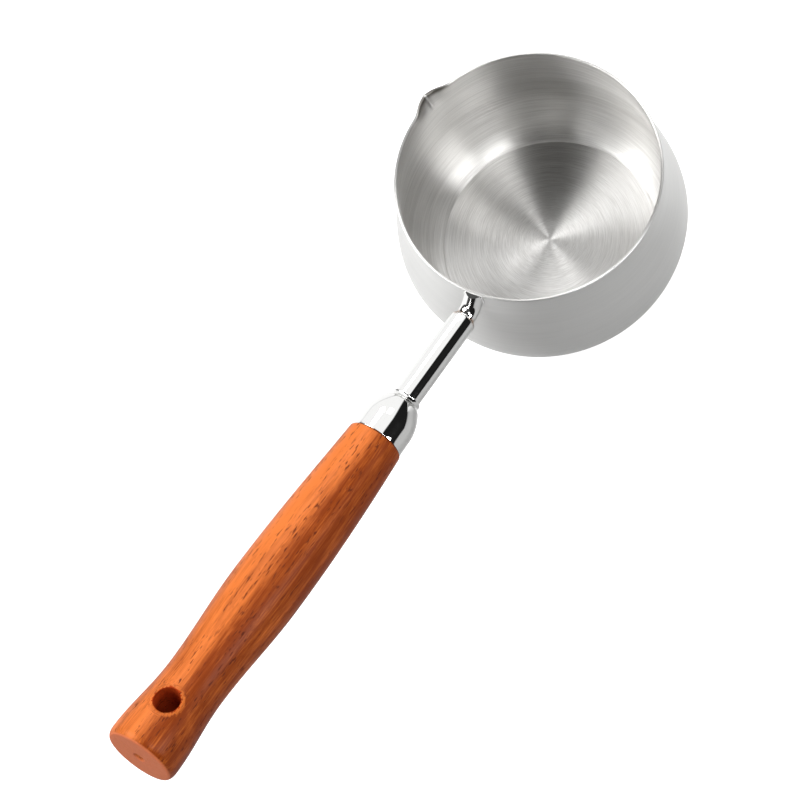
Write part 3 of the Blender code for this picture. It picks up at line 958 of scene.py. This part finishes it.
@dataclass
class Stem:
    """The rod, tube and ferrule, on the stem's own axis.

    Attributes:
        pot: The pot that the stem is welded to.
        offset: How far the axis lies beside the pot's.
        drop: How far under the rim the axis meets the wall.
        rise: The axis's slope.
        rod_radius: Radius of the rod.
        rod_slope: The rod's slope where it leaves the wall.
        bend_radius: Radius of the rod's bend.
        rod_grip: How far the rod reaches into the tube.
        under_rim: How far under the rim the rod's end is ground flush.
        wall_bead: The bead at the pot's wall.
        neck_bead: The bead at the tube's mouth.
        tube_start: Where the tube starts along the axis.
        tube_length: The tube's length.
        tube_radius: The tube's outside radius.
        tube_wall: The tube's wall.
        tube_rounding: Radius of the tube's rounded mouth.
        gap: Clearance between neighbouring pieces.
        washer: Thickness of the hidden washer.
        tenon: Length of the grip's tenon.
        ferrule_length: The ferrule's length.
        ferrule_radius: Its radius at the grip.
        ferrule_wall: Its wall.
        collar_length: Length of its collar.
        collar_width: How far the collar stands off the tube.
        dome_length: Length of its dome.
        dome_radius: Radius at the dome's end.
        fillet_length: How far the dome takes to leave the collar.
    """

    pot: Pot
    offset: float = 6.2 * MM
    drop: float = 8.2 * MM
    rise: float = math.radians(8.0)
    rod_radius: float = 3.4 * MM
    rod_slope: float = math.radians(-50.0)
    bend_radius: float = 6.6 * MM
    rod_grip: float = 9.0 * MM
    under_rim: float = 0.4 * MM
    wall_bead: Bead = Bead(0.32 * MM, 26.0, 0.04)
    neck_bead: Bead = Bead(0.3 * MM, 22.0, 0.06)
    tube_start: float = 7.0 * MM
    tube_length: float = 43.5 * MM
    tube_radius: float = 4.5 * MM
    tube_wall: float = 0.9 * MM
    tube_rounding: float = 0.7 * MM
    gap: float = 0.3 * MM
    washer: float = 1.2 * MM
    tenon: float = 7.0 * MM
    ferrule_length: float = 18.0 * MM
    ferrule_radius: float = 9.2 * MM
    ferrule_wall: float = 0.8 * MM
    collar_length: float = 0.8 * MM
    collar_width: float = 0.4 * MM
    dome_length: float = 10.8 * MM
    dome_radius: float = 9.1 * MM
    fillet_length: float = 2.2 * MM
    place: Matrix = field(init=False)

    def __post_init__(self) -> None:
        """Places the axis against the pot's wall."""
        height = self.pot.height - self.drop
        out = math.sqrt(self.pot.wall_radius(height) ** 2 - self.offset ** 2)
        turn = Matrix.Rotation(math.pi / 2 - self.rise, 4, "Y")
        self.place = Matrix.Translation((out, self.offset, height)) @ turn

    @property
    def tenon_start(self) -> float:
        """Where the grip's tenon starts along the axis."""
        return self.tube_start + self.tube_length + 2 * self.gap + self.washer

    @property
    def grip_start(self) -> float:
        """Where the grip's front shoulder lies along the axis."""
        return self.tenon_start + self.tenon

    def at(self, along: float, lift: float = 0.0) -> Vector:
        """Returns a point of the axis, raised square to it by lift."""
        return self.place @ Vector((-lift, 0.0, along))

    def rod_path(self, back: float, steps: int) -> list[Vector]:
        """Returns the rod's centre line.

        Args:
            back: How far the straight start reaches up the slope.
            steps: The number of steps round the bend.

        Returns:
            The points, from the pot to inside the tube.
        """
        centre = self.at(self.tube_start - self.gap, self.bend_radius)
        along = (self.place.to_3x3() @ UP).normalized()
        lift = (self.place.to_3x3() @ Vector((-1.0, 0.0, 0.0))).normalized()
        sweep = self.rise - self.rod_slope
        angles = [sweep * (1 - k / steps) for k in range(steps + 1)]
        bend = [centre - (lift * math.cos(a) + along * math.sin(a)) * self.bend_radius for a in angles]
        fall = along * math.cos(sweep) - lift * math.sin(sweep)
        run_steps = 12
        run = [bend[0] - fall * back * (1 - k / run_steps) for k in range(run_steps)]
        return run + bend + [self.at(self.tube_start + self.rod_grip)]

    def meeting_line(self) -> list[Vector]:
        """Finds where the rod's skin meets the pot's wall.

        Returns:
            The points of that closed line.
        """
        back, bend_steps, count = 12.0 * MM, 60, 72
        path = self.rod_path(back, bend_steps)
        side = Vector((0.0, 1.0, 0.0))
        line = []
        for angle in spread(0.0, 2 * math.pi, count)[:-1]:
            before, before_gap = None, 0.0
            for first, second in zip(path, path[1:]):
                over = (second - first).normalized().cross(side)
                skin = first + (side * math.cos(angle) + over * math.sin(angle)) * self.rod_radius
                gap = math.hypot(skin.x, skin.y) - self.pot.wall_radius(skin.z)
                if before is not None and before_gap < 0.0 <= gap:
                    point = before.lerp(skin, -before_gap / (gap - before_gap))
                    point.z = min(point.z, self.pot.height - 2 * self.under_rim)
                    line.append(point)
                    break
                before, before_gap = skin, gap
        return line

    def make_rod(self, lathe: LatheTree, bar: BeadTree, look: Material) -> None:
        """Makes the bent rod, cut where it meets the wall.

        Args:
            lathe: The tree that turns outlines.
            bar: The tree that sweeps round bars.
            look: The finish.
        """
        back, bend_steps, rod_sides = 9.0 * MM, 28, 56
        wall_steps, wall_sides = 40, 240
        path = self.rod_path(back, bend_steps)
        rod = bar.make("rod_polished", path, False, look, Radius=self.rod_radius, Sides=rod_sides)
        grown, spare = 0.25 * self.pot.wall, 20 * MM
        brim, low = self.pot.height - self.under_rim, 0.5 * self.pot.belly_height
        wide, top = self.pot.rim_radius + spare, self.pot.height + spare
        heights = [z for z in spread(self.pot.belly_height, self.pot.height, wall_steps) if z < brim]
        side = [(self.pot.wall_radius(z) - grown, z) for z in heights]
        outline = [(0.0, low), (side[0][0], low), *side, (side[-1][0], brim)]
        outline += [(wide, brim), (wide, top), (0.0, top)]
        subtract(rod, lathe.turn("wall_cutter", outline, Loop.AXIS, wall_sides, look))
        hand_over(rod, "stem_rod")

    def make_welds(self, bar: BeadTree, look: Material) -> None:
        """Makes the rippled beads at the wall and at the tube's mouth.

        Args:
            bar: The tree that sweeps round bars.
            look: The finish.
        """
        count, sides, sharp = 90, 14, 60.0
        radius, along = self.rod_radius + 0.22 * MM, self.tube_start - 0.12 * MM
        ring = [self.place @ Vector((radius * math.cos(a), radius * math.sin(a), along))
                for a in spread(0.0, 2 * math.pi, count)[:-1]]
        for name, node, line, bead in (("weld_at_wall", "wall_weld", self.meeting_line(), self.wall_bead),
                                       ("weld_at_neck", "neck_weld", ring, self.neck_bead)):
            made = bar.make(name, line, True, look, Radius=bead.radius, Sides=sides, Ripples=bead.ripples,
                            Ripple_Depth=bead.depth)
            hand_over(made, node, sharp)

    def turn_along(self, lathe: LatheTree, name: str, outline: list[Point], sides: int,
                   look: Material) -> Object:
        """Turns a hollow outline and lays it on the stem's axis.

        Args:
            lathe: The tree that turns outlines.
            name: The new object's name.
            outline: The closed outline.
            sides: The number of facets round the axis.
            look: The finish.

        Returns:
            The piece.
        """
        made = lathe.turn(name, outline, Loop.RING, sides, look)
        made.data.transform(self.place)
        return made

    def make_tube(self, lathe: LatheTree, look: Material) -> None:
        """Makes the polished tube with its rounded mouth.

        Args:
            lathe: The tree that turns outlines.
            look: The finish.
        """
        start, end = self.tube_start, self.tube_start + self.tube_length
        inner, mouth = self.tube_radius - self.tube_wall, self.rod_radius + 0.1 * MM
        rounding, burr = self.tube_rounding, 0.1 * MM
        steps, mouth_steps, sides = 12, 10, 96
        outline = [(inner, end), (self.tube_radius - burr, end), (self.tube_radius, end - burr)]
        outline += [(self.tube_radius, end - (end - start - rounding) * k / steps) for k in range(1, steps)]
        outline += corner((self.tube_radius - rounding, start + rounding), (rounding, rounding), 0, -90,
                          mouth_steps)
        outline += [(mouth, start), (mouth, start + self.tube_wall), (inner, start + 1.6 * self.tube_wall)]
        tube = self.turn_along(lathe, "tube_polished", outline, sides, look)
        hand_over(tube, "stem_tube")

    def dome(self, collar: float, start: float) -> list[Point]:
        """Returns the ferrule's dome, which leaves the collar in a soft fillet.

        Args:
            collar: The collar's radius.
            start: Where the dome starts along the axis.

        Returns:
            The points, from the collar on.
        """
        sink, fullness, steps = 0.1 * MM, 0.9, 44
        rise = self.dome_radius - collar + sink
        skin = []
        for a in spread(0.0, math.pi / 2, steps):
            along = self.dome_length * a / (math.pi / 2)
            share = min(along / self.fillet_length, 1.0)
            eased = share * share * (3 - 2 * share)
            skin.append((collar - sink + rise * math.sin(a) ** fullness * eased, start + along))
        return skin

    def make_ferrule(self, lathe: LatheTree, look: Material) -> None:
        """Makes the bell ferrule with its collar lip.

        Args:
            lathe: The tree that turns outlines.
            look: The finish.
        """
        end = self.grip_start - self.gap
        start = end - self.ferrule_length
        bore = self.tube_radius + 0.12 * MM
        collar = self.tube_radius + self.gap + self.collar_width
        dome = start + self.collar_length
        skin = self.dome(collar, dome)
        edge = 0.25 * MM
        edge_steps, cone_steps, mouth_steps, sides = 6, 6, 5, 128
        outline = [(bore, start + 0.2 * MM)]
        outline += corner((collar - edge, start + edge), (edge, edge), -90, 0, edge_steps)
        outline += [(collar, dome - edge), (collar - 0.12 * MM, dome - 0.05 * MM), *skin[1:]]
        cone = zip(spread(self.dome_radius, self.ferrule_radius, cone_steps),
                   spread(skin[-1][1], end - edge, cone_steps))
        outline += list(cone)[1:]
        outline += corner((self.ferrule_radius - edge, end - edge), (edge, edge), 15, 90, mouth_steps)
        inner = self.ferrule_radius - self.ferrule_wall
        outline += [(inner, end), (inner - 0.25 * MM, skin[-1][1])]
        thick = self.ferrule_wall * 0.95
        outline += [(r - thick, z + 0.35 * self.ferrule_wall) for r, z in reversed(skin[6:-2])
                    if r - thick > bore + 0.1 * MM]
        outline += [(bore, dome + 0.5 * MM)]
        bell = self.turn_along(lathe, "ferrule_polished", outline, sides, look)
        hand_over(bell, "ferrule")

    def make(self, lathe: LatheTree, bar: BeadTree, mirror: Material, tinted: Material) -> None:
        """Makes every piece of the stem.

        Args:
            lathe: The tree that turns outlines.
            bar: The tree that sweeps round bars.
            mirror: The plain finish.
            tinted: The finish with heat colours.
        """
        self.make_rod(lathe, bar, tinted)
        self.make_welds(bar, tinted)
        self.make_tube(lathe, tinted)
        self.make_ferrule(lathe, mirror)


# The grip


@dataclass
class Grip:
    """The turned wooden grip, bent up toward its butt.

    Attributes:
        stem: The stem that carries it.
        length: Length behind the front shoulder.
        front_radius: Radius at the front shoulder.
        belly_at: Where the swell is widest.
        belly_radius: Radius there.
        waist_at: Where the waist is.
        waist_radius: Radius there.
        end_radius: Radius of the flared butt.
        end_length: Length of the butt's rounding.
        end_depth: Depth of the butt's rounding.
        lift: How far the butt is bent up.
        lift_power: How fast the bend grows along the grip.
        mark_radius: Radius of the turning centre's mark.
        mark_depth: Its depth.
        hole_from_end: Distance of the hanging hole from the butt.
        hole_radius: The hole's radius.
        hole_rounding: Rounding of the hole's mouths.
        insert_length: Length of the hidden insert.
        insert_radius: Its radius.
        stud_radius: Radius of the hidden stud.
        stud_end: Where the stud ends past the tube's end.
    """

    stem: Stem
    length: float = 130.4 * MM
    front_radius: float = 9.65 * MM
    belly_at: float = 62.0 * MM
    belly_radius: float = 12.05 * MM
    waist_at: float = 100.4 * MM
    waist_radius: float = 10.45 * MM
    end_radius: float = 12.3 * MM
    end_length: float = 3.2 * MM
    end_depth: float = 1.4 * MM
    lift: float = 4.8 * MM
    lift_power: float = 1.3
    mark_radius: float = 2.2 * MM
    mark_depth: float = 0.7 * MM
    hole_from_end: float = 17.2 * MM
    hole_radius: float = 4.3 * MM
    hole_rounding: float = 1.3 * MM
    insert_length: float = 16.0 * MM
    insert_radius: float = 4.0 * MM
    stud_radius: float = 2.0 * MM
    stud_end: float = 21.0 * MM

    @property
    def end(self) -> float:
        """Where the butt lies along the stem's axis."""
        return self.stem.grip_start + self.length

    @property
    def bore_end(self) -> float:
        """Where the bore ends along the stem's axis."""
        tube_end = self.stem.tube_start + self.stem.tube_length
        return max(tube_end + self.stud_end, self.stem.tenon_start + self.insert_length) + 1.5 * MM

    @property
    def hole_place(self) -> Matrix:
        """The place of the hanging hole's axis, before the grip is laid along the stem."""
        along = self.end - self.hole_from_end
        lift, tilt = self.spine(along)
        return Matrix.Translation((-lift, 0.0, along)) @ Matrix.Rotation(-math.pi / 2 - tilt, 4, "Y")

    def radius(self, along: float) -> float:
        """Finds the radius at a distance behind the front shoulder.

        Args:
            along: The distance.

        Returns:
            The radius.
        """
        if along <= self.belly_at:
            swell = math.sin(math.pi / 2 * along / self.belly_at)
            return self.front_radius + (self.belly_radius - self.front_radius) * swell
        if along <= self.waist_at:
            share = ease(along - self.belly_at, self.waist_at - self.belly_at)
            return self.belly_radius + (self.waist_radius - self.belly_radius) * share
        share = ease(along - self.waist_at, self.length - self.end_length - self.waist_at)
        return self.waist_radius + (self.end_radius - self.waist_radius) * share

    def spine(self, along: float) -> tuple[float, float]:
        """Finds how the centre line is bent at a distance along the stem's axis.

        Args:
            along: The distance.

        Returns:
            Its lift and its tilt.
        """
        run = self.end - self.bore_end
        share = max(along - self.bore_end, 0.0) / run
        slope = self.lift_power * self.lift / run * share ** (self.lift_power - 1)
        return self.lift * share ** self.lift_power, math.atan(slope)

    def outline(self) -> list[Point]:
        """Makes the section: butt's middle, butt, outside, tenon and the stepped bore to the axis.

        Returns:
            The points, as (radius, height).
        """
        start, flare = self.stem.grip_start, self.length - self.end_length
        front, mark = self.stem.tenon_start, self.mark_radius
        flat_steps, end_steps, side_steps, front_steps = 6, 12, 150, 4
        points = [(0.0, self.end - self.mark_depth), (mark * 0.55, self.end - self.mark_depth)]
        points += [(mark * 0.8, self.end - self.mark_depth * 0.6), (mark, self.end)]
        flat = self.end_radius - self.end_depth
        points += [(r, self.end) for r in spread(mark, flat, flat_steps)[1:-1]]
        points += corner((flat, start + flare), (self.end_depth, self.end_length), 90, 0, end_steps)
        points += [(self.radius(along), start + along) for along in spread(0.0, flare, side_steps)[-2:0:-1]]
        soft = 0.3 * MM
        points += [(self.front_radius, start + soft)]
        points += corner((self.front_radius - soft, start + soft), (soft, soft), -20, -90, front_steps)
        tenon = self.stem.ferrule_radius - self.stem.ferrule_wall - 2 * self.stem.gap
        bore = self.insert_radius + self.stem.gap
        pilot = self.stud_radius + self.stem.gap
        step = front + self.insert_length + self.stem.gap
        points += [(tenon, start), (tenon, front), (bore, front), (bore, step)]
        return points + [(pilot, step), (pilot, self.bore_end), (0.0, self.bore_end)]

    def hole_cutter(self, lathe: LatheTree, look: Material) -> Object:
        """Makes the spool that cuts the hanging hole and rounds its mouths.

        Args:
            lathe: The tree that turns outlines.
            look: Any finish.

        Returns:
            The spool.
        """
        surface = self.radius(self.end - self.hole_from_end - self.stem.grip_start)
        ends, rounding = surface + 6 * MM, self.hole_rounding
        half = [(self.hole_radius + rounding * (1 - math.sin(a)),
                 surface - rounding * (1 - math.cos(a)) + 0.25 * rounding)
                for a in spread(0.0, math.pi / 2, 10)]
        top = [(0.0, ends), (self.hole_radius + 4 * rounding, ends)] + half
        spool = lathe.turn("hole_spool", top + [(r, -z) for r, z in reversed(top)], Loop.AXIS, 96, look)
        spool.data.transform(self.hole_place)
        return spool

    def shade_hole(self, mesh: Mesh, dark: Material) -> None:
        """Gives the hanging hole's wall a darker copy of the wood, painted shade, and its vertices their
        place along the grain.

        Args:
            mesh: The grip's mesh.
            dark: The darker wood, painted shade for the hole's wall.
        """
        middle, axis = self.hole_place.translation, self.hole_place.to_3x3() @ UP
        mesh.materials.append(dark)
        for vertex, kept in zip(mesh.vertices, mesh.attributes["straight"].data):
            if (vertex.co - middle).cross(axis).length < self.hole_radius + self.hole_rounding + 0.1 * MM:
                kept.vector = vertex.co
        # Faces of the hole's wall take the darker wood, painted shade inside the hole.
        for face in mesh.polygons:
            if (face.center - middle).cross(axis).length < self.hole_radius + 0.25 * MM:
                face.material_index = 1

    def make(self, lathe: LatheTree, look: Material, dark: Material) -> None:
        """Makes the grip, keeps its straight coordinates for the grain, bends it and bores the hole.

        Args:
            lathe: The tree that turns outlines.
            look: The finish.
            dark: The darker wood of the hole's wall, painted shade.
        """
        grip = lathe.turn("grip_turned", self.outline(), Loop.AXIS, 160, look)
        straight = grip.data.attributes.new("straight", "FLOAT_VECTOR", "POINT")
        for vertex, kept in zip(grip.data.vertices, straight.data):
            kept.vector = vertex.co
            lift, tilt = self.spine(vertex.co.z)
            x, y, z = vertex.co
            vertex.co = (x * math.cos(tilt) - lift, y, z + x * math.sin(tilt))
        subtract(grip, self.hole_cutter(lathe, look))
        self.shade_hole(grip.data, dark)
        grip.data.transform(self.stem.place)
        hand_over(grip, "wood_grip", angle=28.0)


# The studio


@dataclass(frozen=True)
class Panel:
    """A soft light panel.

    Attributes:
        name: Its name.
        azimuth: Plan direction from the pot, in degrees from +X.
        elevation: Height over the horizon, in degrees.
        size: Width and height.
        glow: How bright it looks, where 1 is white.
    """

    name: str
    azimuth: float
    elevation: float
    size: tuple[float, float]
    glow: float


@dataclass
class Studio:
    """A white floor, soft panels and the photograph's camera.

    Attributes:
        target: The point that the camera is placed by.
        target_pixel: Where that point lies in the picture.
        picture: The picture's side in pixels.
        depth: The point's depth from the camera.
        azimuth: Plan direction of the camera, in degrees from +X.
        elevation: Its height over the horizon.
        roll: How far the picture is turned.
        focal_pixels: The focal length in pixels.
        panels: The light panels.
        panel_distance: Their distance from the pot.
        floor_side: Half the floor's side.
        floor_grey: The floor's own grey, which lights the object from below.
        floor_white: How bright the camera sees the floor, past the lamps' own light.
        pool_glow: How bright polished metal sees the floor behind the pot, past the lamps' own light.
        pool_edge: How far in front of the pot's axis that ends.
        wing_glow: How bright the white wing beside the stem is.
        dark_glow: How bright the dark half of the sky is.
    """

    target: tuple[float, float, float] = (0.0, 0.0, 0.0)
    target_pixel: Point = (550.734, 241.686)
    picture: float = 800.0
    depth: float = 1206.168 * MM
    azimuth: float = 57.489
    elevation: float = 67.060
    roll: float = -26.408
    focal_pixels: float = 3500.0
    panels: tuple[Panel, ...] = (
        Panel("key_panel", -61.0, 48.0, (0.75, 0.7), 6.3),
        Panel("far_panel", 186.0, 52.0, (0.36, 0.42), 2.6),
        Panel("back_panel", 229.0, 47.0, (0.3, 0.42), 5.6),
        Panel("near_panel", 97.0, 33.0, (0.42, 0.4), 9.5),
        Panel("top_panel", 71.0, 59.0, (0.34, 0.3), 10.5),
        Panel("low_panel", -12.0, 30.0, (0.5, 0.4), 4.6),
    )
    panel_distance: float = 1.2
    floor_side: float = 4.0
    floor_grey: float = 0.42
    floor_white: float = 0.92
    pool_glow: float = 0.6
    pool_edge: float = 75.0 * MM
    wing_glow: float = 1.15
    dark_glow: float = 0.014

    def camera(self) -> None:
        """Places the camera."""
        a, roll = math.radians(self.azimuth), math.radians(self.roll)
        back = bearing(self.azimuth, self.elevation)
        right = Vector((-math.sin(a), math.cos(a), 0.0))
        up = back.cross(right)
        turned_right = right * math.cos(roll) + up * math.sin(roll)
        turned_up = up * math.cos(roll) - right * math.sin(roll)
        across = (self.target_pixel[0] - self.picture / 2) / self.focal_pixels * self.depth
        above = (self.picture / 2 - self.target_pixel[1]) / self.focal_pixels * self.depth
        place = Vector(self.target) - turned_right * across - turned_up * above + back * self.depth
        data = bpy.data.cameras.new("camera")
        data.sensor_width = 36.0
        data.lens = self.focal_pixels * data.sensor_width / self.picture
        data.clip_start = 0.01
        camera = put("camera", data)
        basis = Matrix((turned_right, turned_up, back)).transposed().to_4x4()
        camera.matrix_world = Matrix.Translation(place) @ basis
        bpy.context.scene.camera = camera

    def lights(self) -> None:
        """Hangs the panels, each facing the pot."""
        for panel in self.panels:
            way = bearing(panel.azimuth, panel.elevation)
            data = bpy.data.lights.new(panel.name, "AREA")
            data.shape = "RECTANGLE"
            data.size, data.size_y = panel.size
            data.energy = panel.glow * math.pi * data.size * data.size_y
            facing = way.to_track_quat("Z", "Y").to_matrix().to_4x4()
            put(panel.name, data).matrix_world = Matrix.Translation(way * self.panel_distance) @ facing

    def floor(self) -> None:
        """Lays a white floor that keeps a faint shadow."""
        mesh = bpy.data.meshes.new("studio_floor")
        side = self.floor_side
        corners = [(-side, -side, 0), (side, -side, 0), (side, side, 0), (-side, side, 0)]
        mesh.from_pydata(corners, [], [(0, 1, 2, 3)])
        floor = put("studio_floor", mesh)
        graph = Surface("studio_white")
        path = graph.add("ShaderNodeLightPath").outputs
        turn = math.radians(self.azimuth)
        ahead = graph.vector("DOT_PRODUCT", graph.place, (math.cos(turn), math.sin(turn), 0.0))
        pool = graph.span(ahead, 0.0, self.pool_edge, self.pool_glow, 0.0)
        mirrored = graph.math("MULTIPLY", path["Is Glossy Ray"], pool)
        seen = graph.math("MULTIPLY_ADD", path["Is Camera Ray"], self.floor_white, mirrored)
        graph.dress(Base_Color=(self.floor_grey,) * 3 + (1.0,), Roughness=0.9, Specular_IOR_Level=0.0,
                    Emission_Color=WHITE, Emission_Strength=seen)
        floor.data.materials.append(graph.material)

    def world(self) -> None:
        """Makes a white surround for the camera and a half dark sky for reflections."""
        world = bpy.data.worlds.new("studio_surround")
        bpy.context.scene.world = world
        world.use_nodes = True
        graph = Graph(world.node_tree)
        way = graph.add("ShaderNodeTexCoord").outputs["Generated"]
        white_side, horizon = (0.0, -0.89, 0.46), (-0.02, 0.06)
        wing_edge, pale_glow = (-0.24, -0.33), 0.08
        side = graph.vector("DOT_PRODUCT", way, white_side)
        wing = graph.span(graph.split(way)["X"], *wing_edge, pale_glow, self.wing_glow)
        sky = graph.span(side, *horizon, self.dark_glow, wing)
        camera_ray = graph.add("ShaderNodeLightPath").outputs["Is Camera Ray"]
        seen = graph.mix(camera_ray, graph.combine(sky, sky, sky), WHITE)
        graph.feed(world.node_tree.nodes["Background"], {"Color": seen})

    def make(self) -> None:
        """Builds the whole studio."""
        self.camera()
        self.lights()
        self.floor()
        self.world()
        bpy.context.scene.view_settings.view_transform = "Standard"
        LOG.info("studio ready")


def dress_inner(zinc: Material, brass: Material) -> None:
    """Gives the hidden CAD nodes their finishes.

    Args:
        zinc: The finish of the plug, the washer and the stud.
        brass: The finish of the insert.
    """
    looks = {"tube_plug": zinc, "grip_washer": zinc, "tie_stud": zinc, "grip_insert": brass}
    for name, look in looks.items():
        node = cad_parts[name]
        node.data.materials.clear()
        node.data.materials.append(look)
        LOG.info("%s dressed in %s", name, look.name)


def main() -> None:
    """Builds the pot, stem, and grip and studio."""
    logging.basicConfig(level=logging.INFO, format="%(name)s: %(message)s")
    lathe, bar, smudges = LatheTree(), BeadTree(), SmudgeGroup()
    pot = Pot()
    stem = Stem(pot)
    grip = Grip(stem)
    butt_at = grip.end - 0.7 * MM
    spun, satin, mirror, tinted, wood, dark, zinc, brass = (finish.make(smudges) for finish in (
        SpunSteel("spun_steel", pot.lip_angle, pot.height),
        SpunSteel("satin_steel", pot.lip_angle, pot.height, roughness=0.46, stretch=0.35,
                  dark=(0.68, 0.68, 0.67, 1.0), light=(0.72, 0.72, 0.71, 1.0), relief=0.08),
        PolishedSteel("mirror_steel"),
        PolishedSteel("heated_steel", stem.place, stem.tube_start - 0.2 * MM),
        OiledWood("oiled_wood", butt_at),
        # A darker copy of the wood, painted shade for the inside of the hanging hole.
        OiledWood("shaded_hole_wood", butt_at, (0.40, 0.050, 0.010, 1.0), (0.24, 0.028, 0.006, 1.0), gloss=0.0),
        PlainMetal("zinc_plate"),
        PlainMetal("turned_brass", (0.74, 0.57, 0.27, 1.0), 0.3),
    ))
    pot.make(lathe, spun, satin)
    stem.make(lathe, bar, mirror, tinted)
    grip.make(lathe, wood, dark)
    dress_inner(zinc, brass)
    Studio().make()
    LOG.info("sizes written")


if __name__ == "__main__":
    main()
